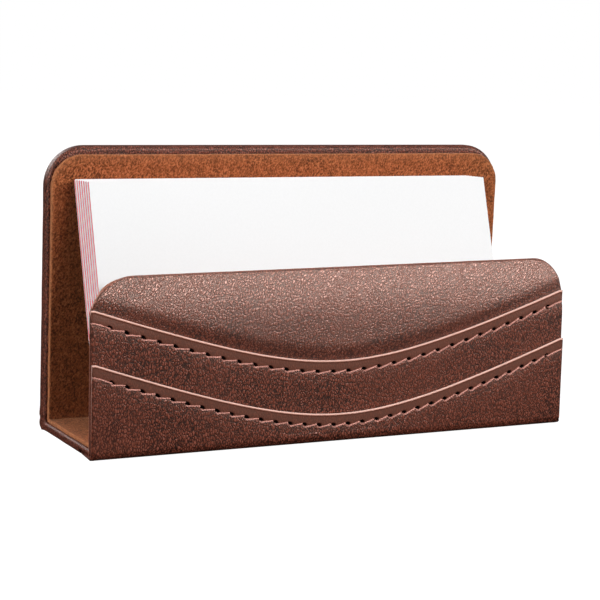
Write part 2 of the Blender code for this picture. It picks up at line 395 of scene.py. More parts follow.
def warped(tree, where, size, amount):
    """Coordinates pushed about by noise."""
    push = cloud(tree, where, size, 2.0, "Color")
    centred = calculate_vector(tree, "SUBTRACT", {0: push, 1: (0.5, 0.5, 0.5)})
    scaled = calculate_vector(tree, "SCALE", {0: centred, "Scale": amount})
    return calculate_vector(tree, "ADD", {0: where, 1: scaled})


def cells(tree, where, size):
    """0 on the cracks between cells, rising towards their middles."""
    inputs = {"Vector": where, "Scale": 1 / size}
    made = add_node(tree, "ShaderNodeTexVoronoi", inputs, feature="DISTANCE_TO_EDGE")
    return ramp(tree, made.outputs["Distance"], 0.0, 0.32)


def finish_shares(tree):
    """The mesh's (edge, slit, smooth) shares; the edge share also places a painted highlight on leather
    beads, the slit share places painted shade.
    """
    read = add_node(tree, "ShaderNodeAttribute", {}, attribute_name="finish_and_painted_light")
    split = add_node(tree, "ShaderNodeSeparateColor", {"Color": read.outputs["Color"]})
    return split.outputs[0], split.outputs[1], split.outputs[2]


def new_material(name):
    material = bpy.data.materials.new(name)
    material.use_nodes = True
    tree = material.node_tree
    return material, tree, tree.nodes["Principled BSDF"]


def bump(tree, height, strength, distance):
    inputs = {"Height": height, "Strength": strength, "Distance": distance}
    return add_node(tree, "ShaderNodeBump", inputs).outputs["Normal"]


# ---------------------------------------------------------------- materials

# The near-black crack colour is partly the grain's own tone and partly painted shade; the crest colour is a
# painted highlight on grain tops.
LEATHER_CREVICE_SHADE = (0.009, 0.0023, 0.0014)
LEATHER_BASE = (0.138, 0.0345, 0.0193)
LEATHER_CREST_HIGHLIGHT = (0.290, 0.095, 0.066)
LEATHER_SMOOTH = (0.120, 0.045, 0.030)
EDGE_SALMON = (0.40, 0.15, 0.10)
# A painted highlight along the top of each edge bead
EDGE_PAINTED_HIGHLIGHT = (0.75, 0.50, 0.43)
EDGE_DARK = (0.26, 0.065, 0.042)
# Painted shade inside the needle slits
SLIT_SHADE_BLACK = (0.002, 0.0015, 0.0015)

# The leather's grain: two sizes of cells, longer along Z before they are turned
GRAIN_STRETCH = (1, 1, 1.9)
LARGE_CELL = 0.42 * MM
SMALL_CELL = 0.26 * MM
LARGE_SHARE = 0.7
GRAIN_HEIGHT = 0.044 * MM
CREVICE_ROUGHNESS = 0.45
CREST_ROUGHNESS = 0.29
LEATHER_GLEAM = (1.0, 0.68, 0.58, 1)
GRAIN_TURN = math.radians(8)
SHINE = 0.38
UPPER_GRAIN_TURN = math.radians(42)
UPPER_SHINE = 1.0


def edge_colour_and_highlight(tree, edge):
    """A burnished edge: salmon, then a pale painted highlight, then dark red as the edge share rises to 1.
    """
    made = tree.nodes.new("ShaderNodeValToRGB")
    stops = made.color_ramp.elements
    stops[0].position, stops[0].color = 0.15, (*EDGE_SALMON, 1)
    stops[1].position, stops[1].color = 1.0, (*EDGE_DARK, 1)
    highlight_stop = stops.new(0.55)
    highlight_stop.color = (*EDGE_PAINTED_HIGHLIGHT, 1)
    tree.links.new(edge, made.inputs[0])
    return made.outputs[0]


def grain_colour(tree, where, grain):
    """Dark cracks, partly the grain's own tone and partly painted shade, a brown body, tops painted paler in
    specks as a painted highlight, and slow patches where the grain is faint.
    """
    patches = cloud(tree, where, 14 * MM, 3.0)
    specks = cloud(tree, where, 0.4 * MM, 2.0)
    # cracks darkened: the grain's own tone with painted shade
    colour = mixed(tree, ramp(tree, grain, 0.1, 0.55), LEATHER_CREVICE_SHADE, LEATHER_BASE)
    # specks on the grain's tops painted paler: a painted highlight
    painted_highlight = times(tree, ramp(tree, grain, 0.5, 0.95), ramp(tree, specks, 0.3, 0.65))
    colour = mixed(tree, times(tree, painted_highlight, 0.8), colour, LEATHER_CREST_HIGHLIGHT)
    return mixed(tree, ramp(tree, patches, 0.4, 0.75, 0.0, 0.3), colour, LEATHER_BASE)


def make_leather(name, turn, shine):
    """Pebbled leather with burnished edges, painted shade in its cracks and slits, and painted highlights on
    its grain tops and edge beads; turn slants its grain about Y, shine is its specular level.
    """
    material, tree, shader = new_material(name)
    edge, slit, smooth = finish_shares(tree)
    where = coordinates(tree, (0, turn, 0), GRAIN_STRETCH)
    bent = warped(tree, where, 0.5 * MM, 0.35 * MM)
    grain = weighted(tree, cells(tree, bent, LARGE_CELL), cells(tree, bent, SMALL_CELL), LARGE_SHARE)

    colour = mixed(tree, times(tree, smooth, 0.7), grain_colour(tree, where, grain), LEATHER_SMOOTH)
    # edge paint along the edges, with a painted highlight on the bead
    colour = mixed(tree, ramp(tree, edge, 0.02, 0.2), colour, edge_colour_and_highlight(tree, edge))
    # painted shade: the slit share darkens the needle slits
    colour = mixed(tree, slit, colour, LEATHER_CREVICE_SHADE)
    plug(tree, colour, shader.inputs["Base Color"])

    rough = ramp(tree, grain, 0.0, 0.8, CREVICE_ROUGHNESS, CREST_ROUGHNESS)
    plug(tree, rough, shader.inputs["Roughness"])
    shader.inputs["Specular IOR Level"].default_value = shine
    shader.inputs["Specular Tint"].default_value = LEATHER_GLEAM

    polished = calculate(tree, "MAXIMUM", edge, times(tree, smooth, 0.65))
    height = times(tree, grain, calculate(tree, "SUBTRACT", 1.0, polished))
    plug(tree, bump(tree, height, 1.0, GRAIN_HEIGHT), shader.inputs["Normal"])
    return material


def make_slit_shade():
    """Painted shade in the needle slits: deep black between fuzzy dark fibres, without any shine."""
    material, tree, shader = new_material("slit_shade_black")
    fibres = cloud(tree, coordinates(tree), 0.15 * MM, 2.0)
    colour = mixed(tree, ramp(tree, fibres, 0.5, 0.8), SLIT_SHADE_BLACK, LEATHER_CREVICE_SHADE)
    plug(tree, colour, shader.inputs["Base Color"])
    shader.inputs["Roughness"].default_value = 1.0
    shader.inputs["Specular IOR Level"].default_value = 0.0
    return material


SUEDE_DARK = (0.085, 0.025, 0.0085)
SUEDE_MID = (0.310, 0.090, 0.029)
SUEDE_LIGHT = (0.540, 0.190, 0.075)
SUEDE_RIM = (0.50, 0.21, 0.095)
SUEDE_SHEEN = (0.9, 0.6, 0.4, 1)
NAP_SHARE = 0.75
NAP_HEIGHT = 0.45 * MM


def make_suede(name):
    """Napped suede: short matted fibres, brushed patches and a paler cut edge."""
    material, tree, shader = new_material(name)
    edge = finish_shares(tree)[0]
    where = coordinates(tree)
    nap = cloud(tree, coordinates(tree, (0, 0.5, 0.3), (1, 1, 1.5)), 0.3 * MM, 3.0)
    clumps = cloud(tree, where, 1.1 * MM, 3.0)
    strokes = cloud(tree, where, 9 * MM, 2.0)
    tone = weighted(tree, nap, clumps, NAP_SHARE)
    colour = mixed(tree, ramp(tree, tone, 0.38, 0.56), SUEDE_DARK, SUEDE_MID)
    colour = mixed(tree, ramp(tree, tone, 0.52, 0.66, 0.0, 0.7), colour, SUEDE_LIGHT)
    colour = mixed(tree, ramp(tree, strokes, 0.35, 0.65, 0.0, 0.25), colour, SUEDE_MID)
    colour = mixed(tree, times(tree, edge, 0.3), colour, SUEDE_RIM)
    plug(tree, colour, shader.inputs["Base Color"])
    shader.inputs["Roughness"].default_value = 0.95
    shader.inputs["Specular IOR Level"].default_value = 0.15
    shader.inputs["Sheen Weight"].default_value = 0.12
    shader.inputs["Sheen Roughness"].default_value = 0.5
    shader.inputs["Sheen Tint"].default_value = SUEDE_SHEEN
    plug(tree, bump(tree, tone, 1.0, NAP_HEIGHT), shader.inputs["Normal"])
    return material


THREAD_DEEP = (0.30, 0.100, 0.070)
THREAD_TOP = (0.72, 0.330, 0.260)


def make_thread():
    """Waxed sewing thread: fine fibres along its plies."""
    material, tree, shader = new_material("salmon_thread")
    fibres = cloud(tree, coordinates(tree, (0, 0.3, 0), (3.0, 1, 1)), 0.12 * MM, 3.0)
    colour = mixed(tree, ramp(tree, fibres, 0.35, 0.65), THREAD_DEEP, THREAD_TOP)
    plug(tree, colour, shader.inputs["Base Color"])
    shader.inputs["Roughness"].default_value = 0.55
    shader.inputs["Sheen Weight"].default_value = 0.2
    plug(tree, bump(tree, fibres, 0.4, 0.02 * MM), shader.inputs["Normal"])
    return material


def make_card_stock(name, colour, speck):
    """Smooth coated card with a faint fibre in it."""
    material, tree, shader = new_material(name)
    fibres = cloud(tree, coordinates(tree, (0.3, 0.2, 0), (1, 1, 1.6)), 0.35 * MM, 4.0)
    plug(tree, mixed(tree, ramp(tree, fibres, 0.35, 0.65), speck, colour), shader.inputs["Base Color"])
    plug(tree, ramp(tree, fibres, 0.3, 0.7, 0.62, 0.52), shader.inputs["Roughness"])
    shader.inputs["Specular IOR Level"].default_value = 0.3
    plug(tree, bump(tree, fibres, 0.15, 0.02 * MM), shader.inputs["Normal"])
    return material


BOARD_DARK = (0.27, 0.245, 0.21)
BOARD_PALE = (0.45, 0.42, 0.37)
BOARD_FLECK = (0.2, 0.18, 0.15)


def make_board():
    """Grey bookbinding board: pressed fibres with dark flecks."""
    material, tree, shader = new_material("grey_board")
    where = coordinates(tree)
    fibres = cloud(tree, where, 0.4 * MM, 4.0)
    flecks = cloud(tree, where, 1.6 * MM, 2.0)
    colour = mixed(tree, ramp(tree, fibres, 0.3, 0.7), BOARD_DARK, BOARD_PALE)
    colour = mixed(tree, ramp(tree, flecks, 0.62, 0.7), colour, BOARD_FLECK)
    plug(tree, colour, shader.inputs["Base Color"])
    shader.inputs["Roughness"].default_value = 0.9
    plug(tree, bump(tree, fibres, 0.5, 0.08 * MM), shader.inputs["Normal"])
    return material


# ---------------------------------------------------------------- the front's bands


def smile(x, low):
    """Height of a band's upper edge: lowest in the middle, level just before each side."""
    reach = min(abs(x), HALF - EDGE_LEVEL)
    return low + EDGE_RISE[low] * (math.hypot(1, reach / EDGE_BREADTH) - 1)


def smile_slope(x, low):
    reach = max(EDGE_LEVEL - HALF, min(x, HALF - EDGE_LEVEL))
    return EDGE_RISE[low] * reach / EDGE_BREADTH ** 2 / math.hypot(1, reach / EDGE_BREADTH)


def slit_places(low, pitch):
    """X of each slit that the thread passes through, a pitch apart along the curve."""
    right = [pitch / 2]
    while right[-1] < HALF - 1.2 * MM:
        right.append(right[-1] + pitch / math.hypot(1, smile_slope(right[-1], low)))
    right.pop()
    return [*[-x for x in reversed(right)], *right]


def slit_share(x, drop, slits):
    """1 in the middle of a slit and 0 away from it; drop is measured down from the edge."""
    nearest = min(slits, key=lambda place: abs(place - x))
    along = x - nearest
    up = STITCH_DROP - SLIT_RISE - drop
    u = along * math.cos(SLIT_TURN) + up * math.sin(SLIT_TURN)
    v = up * math.cos(SLIT_TURN) - along * math.sin(SLIT_TURN)
    reach = math.hypot(u / (SLIT_LENGTH / 2), v / (SLIT_WIDTH / 2))
    return 1 - smoothstep(0.6, 1.15, reach)


# A band's cross-section: a bead along its edge, a strip that lies back, the seam's valley, a puffed face
BAND_THICKNESS = 0.54 * MM
BEAD = 0.2 * MM
BEAD_END = 0.42 * MM
BEAD_TURN = 10
BURNISH_REACH = 1.2 * MM  # the rear is burnished down to here
FACE_BURNISH = 0.35  # what is left of the burnish where the bead meets the face
STRIP_DEPTH = 0.08 * MM
VALLEY_DEPTH = 0.05 * MM
VALLEY_REACH = 0.42 * MM
PUFF_REACH = 2.4 * MM
PIT_DEPTH = 0.28 * MM
FACE_REACH = 5.2 * MM  # the last row of face points lies this far below the edge
FACE_FOOT = 2.2 * MM  # a band's face is regular down to this height
PLAIN = (0, 0, 0)  # no burnished edge, no slit, no smoothing

# A band's sides
COLUMN_STEP = 0.17 * MM
SIDE_ROUND = 0.5 * MM
SIDE_INSETS = [share * SIDE_ROUND for share in (0, 0.04, 0.13, 0.28, 0.48, 0.72, 1.0)]
SIDE_FALL = 0.6
SIDE_WAVER = 0.04 * MM
THREAD_NOTCH = 0.3 * MM
NOTCH_REACH = 0.35 * MM
HEM_INSET = 0.8 * MM  # the hem under the base is this much narrower


def band_relief(x, drop, slits):
    """How far a band's surface lies behind its foremost plane, at a distance below its edge."""
    strip = STRIP_DEPTH * smoothstep(BEAD_END - 0.15 * MM, BEAD_END + 0.2 * MM, drop)
    puffed = 1 - smoothstep(STITCH_DROP, STITCH_DROP + PUFF_REACH, drop)
    valley = VALLEY_DEPTH * math.exp(-((drop - STITCH_DROP) / VALLEY_REACH) ** 2)
    return strip * puffed + valley + PIT_DEPTH * slit_share(x, drop, slits)


def band_shares(x, drop, slits):
    """The shares of a band's face: burnished along its edge, smoother down to the stitches, and painted
    shade in its slits.
    """
    below_bead = smoothstep(BEAD, BEAD_END, drop)
    above_seam = 1 - smoothstep(STITCH_DROP - 0.3 * MM, STITCH_DROP + 0.5 * MM, drop)
    return FACE_BURNISH * (1 - below_bead), slit_share(x, drop, slits), below_bead * above_seam


def band_drops(lowest):
    """Distances below the edge where the band's front gets a row of points."""
    fine = even_steps(STITCH_DROP - 0.6 * MM, STITCH_DROP + 0.6 * MM, 14)
    close = [0.28 * MM, 0.36 * MM, 0.44 * MM, 0.52 * MM, 0.6 * MM, 0.7 * MM, 0.85 * MM, 1.2 * MM]
    return [BEAD, *close, *fine, *[STITCH_DROP + far * MM for far in (0.8, 1.1, 1.5, 2.2)], lowest]


def band_ring(x, low, front, slits):
    """Cross-section of a band at x: up its rear, over the bead and down its face, with (edge, slit, smooth)
    shares at each point, which also place painted highlight and painted shade.
    """
    edge = smile(x, low)
    lean = math.hypot(1, smile_slope(x, low))
    rear = front + BAND_THICKNESS
    ring = [(rear, edge - BURNISH_REACH, PLAIN), (rear, edge - BEAD, (1, 0, 0))]
    # Over the bead the edge share passes the painted highlight's stop, so the bead's upper front is painted
    # pale.
    for step in range(1, BEAD_TURN):
        angle = math.pi * step / BEAD_TURN
        depth = front + BAND_THICKNESS / 2 * (1 + math.cos(angle))
        share = 1 - (1 - FACE_BURNISH) * step / BEAD_TURN
        ring.append((depth, edge - BEAD + BEAD * math.sin(angle), (share, 0, 0)))
    for drop in band_drops(FACE_REACH):
        height = max(FACE_FOOT, edge - drop * lean)
        ring.append((front + band_relief(x, drop, slits), height, band_shares(x, drop, slits)))
    return ring


def band_columns(step):
    """X positions across a band, dense at its rounded sides."""
    inner = HALF - SIDE_INSETS[-1]
    left = [inset - HALF for inset in SIDE_INSETS[:-1]]
    return [*left, *even_steps(-inner, inner, round(2 * inner / step)), *[-x for x in reversed(left)]]


def band_point(x, depth, z, low, front):
    """Places a point of a band, whose sides are rounded, uneven, and notched where the thread goes round."""
    distance = HALF - abs(x)
    fall = SIDE_FALL * edge_round(distance, SIDE_ROUND)
    drawn = depth + (fall if depth < front + BAND_THICKNESS / 2 else -0.3 * fall)
    seam = smile(x, low) - STITCH_DROP * math.hypot(1, smile_slope(x, low))
    notch = THREAD_NOTCH * math.exp(-((z - seam) / NOTCH_REACH) ** 2)
    uneven = SIDE_WAVER + waver(0, z, 2.5 * MM, SIDE_WAVER, low / MM)
    pull = (1 - smoothstep(0, 1.2 * SIDE_ROUND, distance)) * (notch + uneven)
    if depth > front + 2 * BAND_THICKNESS:
        pull += HEM_INSET
    swell = waver(x, z, 9 * MM, 0.07 * MM, 1) * smoothstep(0.5 * MM, 3 * MM, z)
    y = FRONT + drawn + front_shift(z) + max(0.0, 0.03 * MM + swell)
    return Vector((x - math.copysign(pull, x), y, z))


def band_mesh(name, low, front, pitch, tail):
    """A sewn band; tail adds the points of its lower part to each cross-section."""
    slits = slit_places(low, pitch)
    rings, finish_and_painted_light = [], []
    for x in band_columns(COLUMN_STEP):
        ring = band_ring(x, low, front, slits) + tail(front, smile(x, low))
        rings.append([band_point(x, depth, z, low, front) for depth, z, _ in ring])
        finish_and_painted_light += [shares for _, _, shares in ring]
    mesh = new_mesh(name, *joined_rings(rings), finish_and_painted_light)
    # Faces lying mostly in a slit take the second, black material: painted shade in the needle slits.
    for face in mesh.polygons:
        if sum(finish_and_painted_light[index][1] for index in face.vertices) > 0.5 * len(face.vertices):
            face.material_index = 1
    return mesh


MIDDLE_FOOT = 1.3 * MM
FOLD_RADIUS = 1.7 * MM
HEM_LENGTH = 8 * MM
HEM_TOP = 0.5 * MM


def middle_tail(front, edge):
    """Down to the foot, which the lower band hides, and up the rear again."""
    rear = front + BAND_THICKNESS
    face = [(front, z, PLAIN) for z in even_steps(FACE_FOOT, MIDDLE_FOOT, 3)[1:]]
    return face + [(rear, MIDDLE_FOOT, PLAIN), (rear, edge - 3 * MM, PLAIN)]


def lower_tail(front, _edge):
    """Round the lower edge, back under the base and forward again."""
    centre = front + FOLD_RADIUS
    hem_end = front + HEM_LENGTH
    inner = FOLD_RADIUS - BAND_THICKNESS
    ring = []
    for step in range(11):
        angle = math.pi / 2 * step / 10
        depth = front + FOLD_RADIUS * (1 - math.cos(angle))
        ring.append((depth, FOLD_RADIUS * (1 - math.sin(angle)), PLAIN))
    ring += [(hem_end, 0, PLAIN), (hem_end, HEM_TOP, PLAIN), (centre, HEM_TOP, PLAIN)]
    for step in range(1, 6):
        angle = math.pi / 2 * (1 - step / 5)
        ring.append((centre - inner * math.cos(angle), FOLD_RADIUS - inner * math.sin(angle), PLAIN))
    return ring


# ---------------------------------------------------------------- the front's panels


UPPER_PADDING = 0.65 * MM
CROWN = 0.5 * MM  # the padding thins out towards the top edge
CROWN_START = 25 * MM
UPPER_FOOT = 1.0 * MM
UPPER_THICKNESS = 0.56 * MM
WARP_START = 22 * MM  # the upper leather is cut unevenly above this height
TOP_SKEW = 3.9 * MM
TOP_RISE = 0.4 * MM

# The suede tray inside the front, and the room in it for the front board
TRAY_FRONT = UPPER_FRONT + 0.58 * MM
TRAY_INSET = 0.9 * MM
TRAY_WALL = 0.5 * MM
TRAY_DEPTH = 1.64 * MM
ROOM_DEPTH = 1.14 * MM
ROOM_OPENING = 0.4 * MM  # the room begins this far ahead of the tray, so that it is open to the leather


def upper_face(x, z):
    """Depth of the upper leather's face, padded forward above the middle band."""
    above = z - smile(x, MIDDLE_LOW)
    padding = UPPER_PADDING * smoothstep(-0.5 * MM, 3 * MM, above)
    crown = CROWN * (max(0.0, z - CROWN_START) / (FRONT_TOP - CROWN_START)) ** 2
    return UPPER_FRONT - padding + crown + front_shift(z) + 0.03 * MM + waver(x, z, 11 * MM, 0.05 * MM, 7)


def make_bands(leather, slit):
    lower = band_mesh("lower_band", LOWER_LOW, LOWER_FRONT, LOWER_PITCH, lower_tail)
    new_piece("lower_band", lower, [leather, slit], "holder", "front_lower_band")
    middle = band_mesh("middle_band", MIDDLE_LOW, MIDDLE_FRONT, UPPER_PITCH, middle_tail)
    new_piece("middle_band", middle, [leather, slit], "holder", "front_middle_band")


def make_upper_front(leather):
    """The hand-cut upper leather: its top edge rises a little and its corners lean towards +X."""
    outline = (HALF, UPPER_FOOT, FRONT_TOP, CORNER_RADIUS)
    mesh = panel("upper_front", outline, 0.42 * MM, upper_face,
                 lambda x, z: UPPER_FRONT + UPPER_THICKNESS + front_shift(z), rim=0.3 * MM, rim_peak=0.12)
    for point in mesh.vertices:
        share = point.co.x / HALF
        high = smoothstep(WARP_START, FRONT_TOP, point.co.z)
        point.co.x += TOP_SKEW * (1 - share * share) * high
        point.co.z += TOP_RISE * share * high
    new_piece("upper_front", mesh, [leather], "holder", "front_upper_leather")


def make_front_lining(suede):
    """A shallow tray of suede that holds the front board against the leather."""
    inset = TRAY_INSET
    outline = (HALF - inset, BASE_TOP + 0.1 * MM, FRONT_TOP - inset, CORNER_RADIUS - inset)
    lining = panel("front_suede", outline, 0.3 * MM, lambda x, z: TRAY_FRONT + front_shift(z),
                   lambda x, z: TRAY_FRONT + TRAY_DEPTH + front_shift(z) + waver(x, z, 6 * MM, 0.03 * MM, 9),
                   rim=0.5 * MM, fray=0.12 * MM)
    inset += TRAY_WALL
    room_outline = (HALF - inset, BASE_TOP + 0.7 * MM, FRONT_TOP - inset, CORNER_RADIUS - inset)
    room = panel("room", room_outline, 0.01 * MM, lambda x, z: TRAY_FRONT - ROOM_OPENING + front_shift(z),
                 lambda x, z: TRAY_FRONT + ROOM_DEPTH + front_shift(z), step=6 * MM, rows=12)
    new_piece("front_suede", hollowed(lining, room), [suede], "holder", "front_lining")


# ---------------------------------------------------------------- the cover

COVER_INNER = 30.0 * MM  # depth of the back's inner leather face
COVER_BASE = 1.8 * MM  # height of the base's upper leather face
HEM_ROOM = (8.4 * MM, 0.65 * MM)  # depth and height of the step that takes the lower band's hem
BACK_EDGE = 0.95 * MM
BASE_EDGE = 0.6 * MM

# The rooms for the boards, and the windows that the turned-in leather leaves open
COVER_WALL = 0.7 * MM
TURNED_IN = 6.7 * MM
BOARD_FOOT = 0.5 * MM
BOARD_REAR = 32.7 * MM
BACK_BOARD_FRONT = 30.6 * MM
BASE_BOARD_TOP = 1.4 * MM
WINDOW_FOOT = 1.25 * MM
WINDOW_RADIUS = 1.5 * MM
OVERSHOOT = 2 * MM  # rooms and windows reach this far beyond the leather that they open


def cover_edge(z):
    """The rounding of the cover's outline: tight round the base, wider round the back."""
    return BASE_EDGE + (BACK_EDGE - BASE_EDGE) * smoothstep(COVER_BASE, 6 * MM, z)


def cover_crease(z):
    """The leather is pinched across its side where the base turns up into the back."""
    pinch = 0.14 * MM * math.exp(-((z - 2.3 * MM) / (0.38 * MM)) ** 2)
    ridge = 0.06 * MM * math.exp(-((z - 3.3 * MM) / (0.5 * MM)) ** 2)
    return pinch - ridge


def cover_profile(top):
    """Half rings of the cover from the side, (depth, z): the outer face and the inner face beside it."""
    hem_depth, hem_height = HEM_ROOM
    base = even_steps(hem_depth, COVER_INNER, 18)
    under = [(BASE_FRONT, hem_height), (hem_depth, hem_height)]
    under += [(depth, 0) for depth in base[:-1]]
    over = [(BASE_FRONT, COVER_BASE), (hem_depth - 0.2 * MM, COVER_BASE)]
    over += [(depth, COVER_BASE) for depth in base[:-1]]
    corner = []
    centre = DEPTH - HEEL_RADIUS
    for step in range(9):
        angle = math.pi / 2 * (step / 8 - 1)
        corner.append((centre + HEEL_RADIUS * math.cos(angle), HEEL_RADIUS * (1 + math.sin(angle))))
    inner_corner = [(COVER_INNER, COVER_BASE)] * len(corner)
    heights = panel_rows(COVER_BASE + 0.3 * MM, top, BACK_EDGE, 34)
    under += [*corner, *[(DEPTH, z) for z in heights]]
    over += [*inner_corner, *[(COVER_INNER, z) for z in heights]]
    return under, over


def cover_point(x, depth, z, outer):
    """Rounds the cover's outline, leans its back and pinches its fold."""
    upright = z > COVER_BASE or depth >= COVER_INNER
    distance = max(0.0, panel_distance(x, z, COVER_HALF, -TOP, TOP, CORNER_RADIUS))
    edge = cover_edge(z)
    fall = edge_round(distance, edge)
    if not outer and depth == COVER_INNER and z == COVER_BASE:
        y, height = depth + fall, z - fall
    elif upright:
        centred = depth > DEPTH - HEEL_RADIUS and z < HEEL_RADIUS
        share = (depth - DEPTH + HEEL_RADIUS) / HEEL_RADIUS if centred else 1.0
        y = depth - fall * share if outer else depth + fall
        height = z + (fall * (1 - z / HEEL_RADIUS) if centred else 0.0)
    else:
        y = depth
        height = z + fall if outer else z - fall
    near = 1 - smoothstep(0, 2 * edge, distance)
    pull = near * (0.06 * MM + waver(0, z + depth, 5 * MM, 0.06 * MM, 11))
    if upright:
        pull += near * cover_crease(z)
    swell = waver(x, z, 13 * MM, 0.05 * MM, 13) * (1 if upright else 0)
    y += (-1 if outer else 1) * max(0.0, swell)
    return Vector((x - math.copysign(max(0.0, pull), x), FRONT + y + back_shift(height), height))


def cover_body():
    """The whole cover without its rooms, its doubled corner points welded."""
    rings = []
    for x in panel_columns(COVER_HALF, CORNER_RADIUS, 1.3 * MM):
        under, over = cover_profile(column_top(x, COVER_HALF, TOP, CORNER_RADIUS))
        outer = [cover_point(x, depth, z, True) for depth, z in under]
        inner = [cover_point(x, depth, z, False) for depth, z in over]
        rings.append([*outer, *reversed(inner)])
    mesh = new_mesh("cover", *folded_rings(rings))
    data = bmesh.new()
    data.from_mesh(mesh)
    bmesh.ops.remove_doubles(data, verts=data.verts, dist=1e-7)
    bmesh.ops.dissolve_degenerate(data, edges=data.edges, dist=1e-8)
    bmesh.ops.recalc_face_normals(data, faces=data.faces)
    data.to_mesh(mesh)
    data.free()
    return mesh


def upright_room(half, bottom, top, radius, depths):
    """A room inside the leaning back, between two depths."""
    ahead, behind = depths
    columns = panel_columns(half, radius, 30 * MM)
    outline = [(x, column_top(x, half, top, radius)) for x in columns]
    outline += [(half, bottom), (-half, bottom)]
    return prism("room", [Vector((x, FRONT + ahead + back_shift(z), z)) for x, z in outline],
                 Vector((0, behind - ahead, 0)))


def level_room(half, depths, heights):
    """A room inside the base, between two depths and two heights."""
    ahead, behind = depths
    low, high = heights
    corners = [(ahead, low), (behind, low), (behind, high), (ahead, high)]
    outline = [Vector((-half, FRONT + depth, z)) for depth, z in corners]
    return prism("room", outline, Vector((2 * half, 0, 0)))


def make_cover(leather):
    """The cover with its rooms for the boards, open inside its turned-in border."""
    half = COVER_HALF - COVER_WALL
    back = upright_room(half, BOARD_FOOT, TOP - COVER_WALL, CORNER_RADIUS - COVER_WALL,
                        (BACK_BOARD_FRONT, BOARD_REAR))
    base = level_room(half, (BASE_FRONT - OVERSHOOT, BOARD_REAR), (BOARD_FOOT, BASE_BOARD_TOP))
    half = COVER_HALF - TURNED_IN
    window = upright_room(half, WINDOW_FOOT, TOP - TURNED_IN, WINDOW_RADIUS,
                          (COVER_INNER - OVERSHOOT, BACK_BOARD_FRONT + 0.2 * MM))
    floor_window = level_room(half, (BASE_FRONT - OVERSHOOT, COVER_INNER - 0.15 * MM),
                              (WINDOW_FOOT, COVER_BASE + OVERSHOOT))
    cover = hollowed(cover_body(), back, base, window, floor_window)
    new_piece("cover", cover, [leather], "holder", "outer_leather")


# ---------------------------------------------------------------- the suede linings


LINING_FRAY = 0.16 * MM
LINING_RIM = 0.7 * MM


def make_back_lining(suede):
    """An upright panel with a frayed cut edge, glued over the window of the back."""
    outline = (LINING_HALF, BASE_TOP - 0.6 * MM, LINING_TOP, LINING_RADIUS)
    lining = panel("back_suede", outline, 0.25 * MM,
                   lambda x, z: BACK_LINING_FRONT + back_shift(z) + abs(waver(x, z, 7 * MM, 0.05 * MM, 17)),
                   lambda x, z: BACK_LINING_REAR + 0.16 * MM + back_shift(z),
                   rim=LINING_RIM, fray=LINING_FRAY)
    new_piece("back_suede", lining, [suede], "holder", "back_lining")


def make_base_lining(suede):
    """A flat lining with a frayed cut edge at each side."""
    half = LINING_HALF
    low, high = COVER_BASE + 0.02 * MM, BASE_TOP
    edge = 0.22 * MM
    rings, finish_and_painted_light = [], []
    insets = [share * edge for share in EDGE_SHARES]
    left = [inset - half for inset in insets[:-1]]
    inner = half - insets[-1]
    for x in [*left, *even_steps(-inner, inner, 80), *[-x for x in reversed(left)]]:
        fall = edge_round(half - abs(x), edge)
        near = 1 - smoothstep(0, LINING_RIM, half - abs(x))
        under, over = [], []
        for depth in even_steps(BASE_FRONT + 0.1 * MM, BASE_REAR, 60):
            fray = near * abs(waver(depth, 0, FRAY_SIZE, LINING_FRAY, 19))
            across = x - math.copysign(fray, x)
            under.append(Vector((across, FRONT + depth, low + 0.3 * fall)))
            dent = abs(waver(x, depth, 3 * MM, 0.04 * MM, 23))
            over.append(Vector((across, FRONT + depth, high - fall - dent)))
        rings.append([*under, *reversed(over)])
        finish_and_painted_light += [(near, 0.0, 0.0)] * len(rings[-1])
    lining = new_mesh("base_suede", *folded_rings(rings), finish_and_painted_light)
    new_piece("base_suede", lining, [suede], "holder", "base_lining")


# ---------------------------------------------------------------- stitching

PLY_RADIUS = 0.115 * MM
PLY_OFFSET = 0.09 * MM
TWIST_LENGTH = 0.95 * MM
PLY_SIDES = 7


def smooth_path(points, steps):
    """Points on a smooth curve through the given ones."""
    ends = [points[0] * 2 - points[1], *points, points[-1] * 2 - points[-2]]
    path = []
    for before, one, two, after in zip(ends, ends[1:], ends[2:], ends[3:]):
        for step in range(steps):
            t = step / steps
            bend = (two - before) * t + (2 * before - 5 * one + 4 * two - after) * t * t
            path.append((2 * one + bend + (3 * one - before - 3 * two + after) * t ** 3) / 2)
    return [*path, points[-1]]


def along_path(path):
    """Each point with its direction and a steady normal."""
    normal = Vector((0, 0, 1))
    for index, point in enumerate(path):
        ahead, behind = path[min(index + 1, len(path) - 1)], path[max(index - 1, 0)]
        tangent = (ahead - behind).normalized()
        normal = (normal - tangent * normal.dot(tangent)).normalized()
        yield point, tangent, normal


def tube(path, radius):
    rings = []
    for point, tangent, normal in along_path(path):
        side = tangent.cross(normal)
        turns = [2 * math.pi * step / PLY_SIDES for step in range(PLY_SIDES)]
        rings.append([point + (normal * math.cos(turn) + side * math.sin(turn)) * radius for turn in turns])
    return joined_rings(rings)


def wound(path, start_turn):
    """The line of one ply, which winds round a path."""
    line = []
    travelled = 0.0
    last = path[0]
    for point, tangent, normal in along_path(path):
        travelled += (point - last).length
        last = point
        turn = 2 * math.pi * travelled / TWIST_LENGTH + start_turn
        side = tangent.cross(normal)
        line.append(point + (normal * math.cos(turn) + side * math.sin(turn)) * PLY_OFFSET)
    return line


def twisted(path):
    """Two plies on opposite sides of a path."""
    return merged([tube(wound(path, start_turn), PLY_RADIUS) for start_turn in (0.0, math.pi)])


